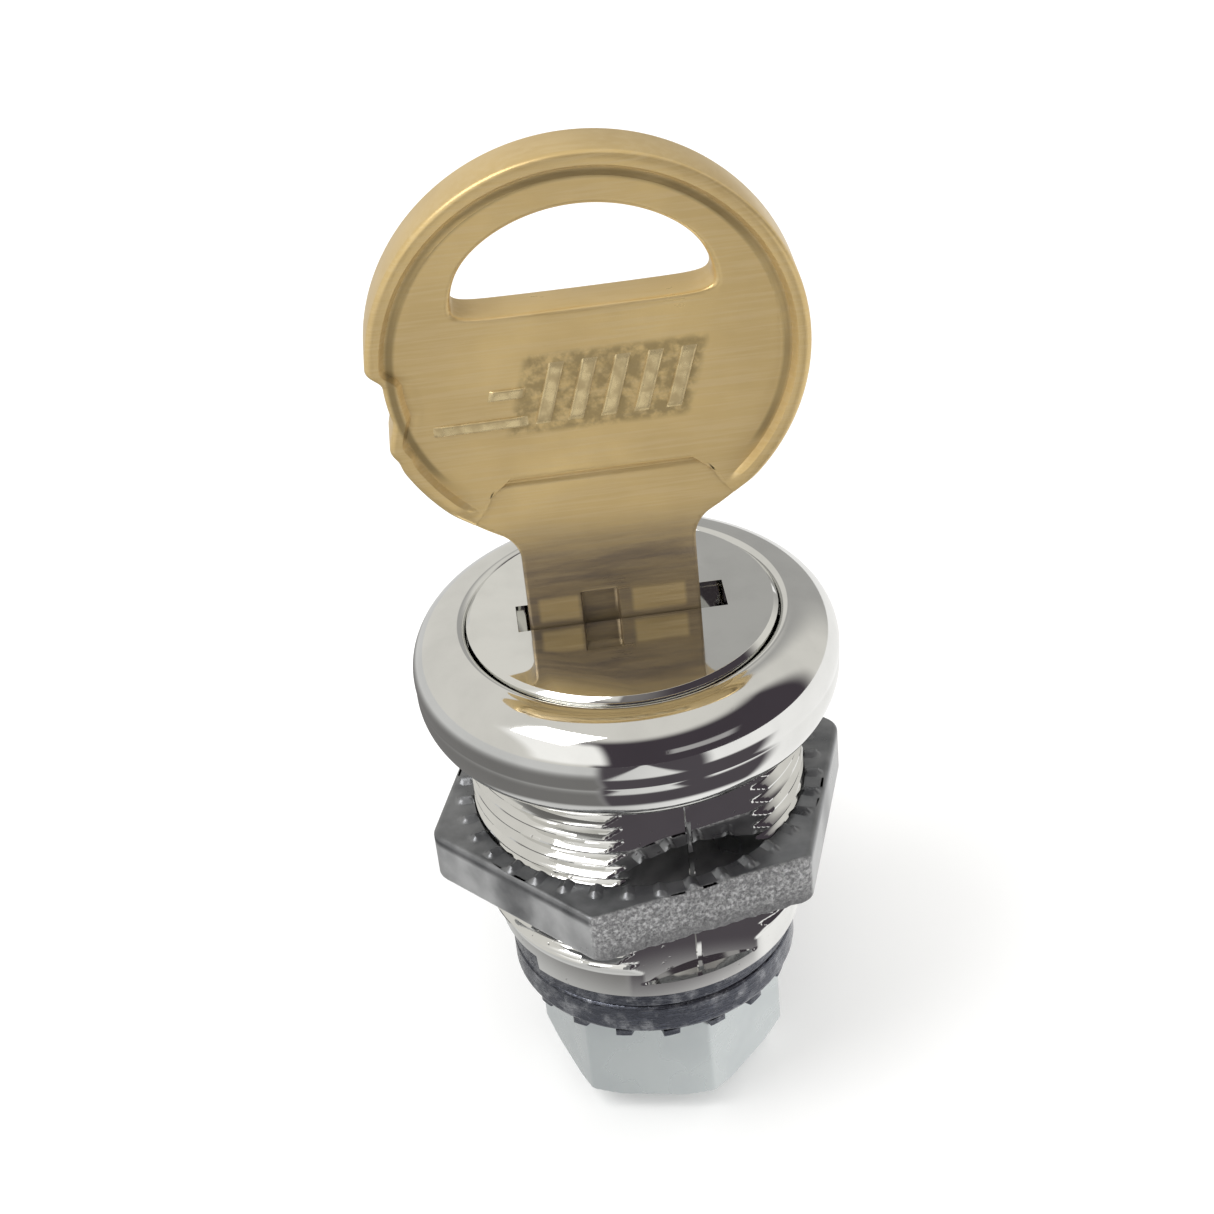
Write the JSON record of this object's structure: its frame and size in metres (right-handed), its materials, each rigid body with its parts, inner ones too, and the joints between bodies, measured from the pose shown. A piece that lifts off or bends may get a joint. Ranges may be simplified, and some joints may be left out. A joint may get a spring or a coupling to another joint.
{
  "type": "cam lock",
  "caption": "Wafer cam lock for a panel or drawer front: chromed bezel, threaded double-D barrel, panel nut, turning plug, latch cam and its key.",
  "frame": {"origin": "on the lock's axis, in the plane of the bezel's underside, which rests on the front of the panel", "axes": "+Z along the axis, out of the panel towards the key; X along the keyway; +Y the way the cam points with the lock shut"},
  "size_m": [0.024, 0.0398, 0.0597],
  "materials": {
    "chromed_zinc": "polished",
    "polished_chrome": "mirror polished",
    "cast_zinc": "as cast",
    "key_brass": "satin",
    "wafer_brass": "stamped",
    "zinc_plated_steel": "zinc plated",
    "bright_zinc_steel": "bright zinc plated",
    "spring_steel": "drawn wire"
  },
  "bodies": {
    "housing": {"housing": "chromed_zinc", "hex_nut": "cast_zinc"},
    "plug": {"plug": "polished_chrome", "stop_washer": "zinc_plated_steel", "cam": "zinc_plated_steel", "lock_washer": "zinc_plated_steel", "cam_nut": "bright_zinc_steel", "wafer_spring_1": "spring_steel", "wafer_spring_2": "spring_steel", "wafer_spring_3": "spring_steel", "wafer_spring_4": "spring_steel", "wafer_spring_5": "spring_steel", "wafer_spring_6": "spring_steel", "wafer_spring_7": "spring_steel"},
    "key": {"key": "key_brass"},
    "wafer_1": {"wafer_1": "wafer_brass"},
    "wafer_2": {"wafer_2": "wafer_brass"},
    "wafer_3": {"wafer_3": "wafer_brass"},
    "wafer_4": {"wafer_4": "wafer_brass"},
    "wafer_5": {"wafer_5": "wafer_brass"},
    "wafer_6": {"wafer_6": "wafer_brass"},
    "wafer_7": {"wafer_7": "wafer_brass"}
  },
  "joints": [
    {"name": "plug_turn", "type": "hinge", "parent": "housing", "child": "plug", "pos_m": [0, 0, 0], "axis": [0, 0, -1], "range_deg": [0, 90]},
    {"name": "key_withdraw", "type": "slide", "parent": "plug", "child": "key", "axis": [0, 0, 1], "range_m": [0, 0.022]},
    {"name": "wafer_1_slide", "type": "slide", "parent": "plug", "child": "wafer_1", "axis": [1, 0, 0], "range_m": [-0.0005, 0], "stiffness_N_per_m": 60, "springref_m": 0.0005, "deforming": ["wafer_spring_1"]},
    {"name": "wafer_2_slide", "type": "slide", "parent": "plug", "child": "wafer_2", "axis": [-1, 0, 0], "range_m": [-0.0005, 0], "stiffness_N_per_m": 60, "springref_m": 0.0005, "deforming": ["wafer_spring_2"]},
    {"name": "wafer_3_slide", "type": "slide", "parent": "plug", "child": "wafer_3", "axis": [1, 0, 0], "range_m": [-0.0005, 0], "stiffness_N_per_m": 60, "springref_m": 0.0005, "deforming": ["wafer_spring_3"]},
    {"name": "wafer_4_slide", "type": "slide", "parent": "plug", "child": "wafer_4", "axis": [-1, 0, 0], "range_m": [-0.0005, 0], "stiffness_N_per_m": 60, "springref_m": 0.0005, "deforming": ["wafer_spring_4"]},
    {"name": "wafer_5_slide", "type": "slide", "parent": "plug", "child": "wafer_5", "axis": [1, 0, 0], "range_m": [-0.0005, 0], "stiffness_N_per_m": 60, "springref_m": 0.0005, "deforming": ["wafer_spring_5"]},
    {"name": "wafer_6_slide", "type": "slide", "parent": "plug", "child": "wafer_6", "axis": [-1, 0, 0], "range_m": [-0.0005, 0], "stiffness_N_per_m": 60, "springref_m": 0.0005, "deforming": ["wafer_spring_6"]},
    {"name": "wafer_7_slide", "type": "slide", "parent": "plug", "child": "wafer_7", "axis": [1, 0, 0], "range_m": [-0.0005, 0], "stiffness_N_per_m": 60, "springref_m": 0.0005, "deforming": ["wafer_spring_7"]}
  ]
}
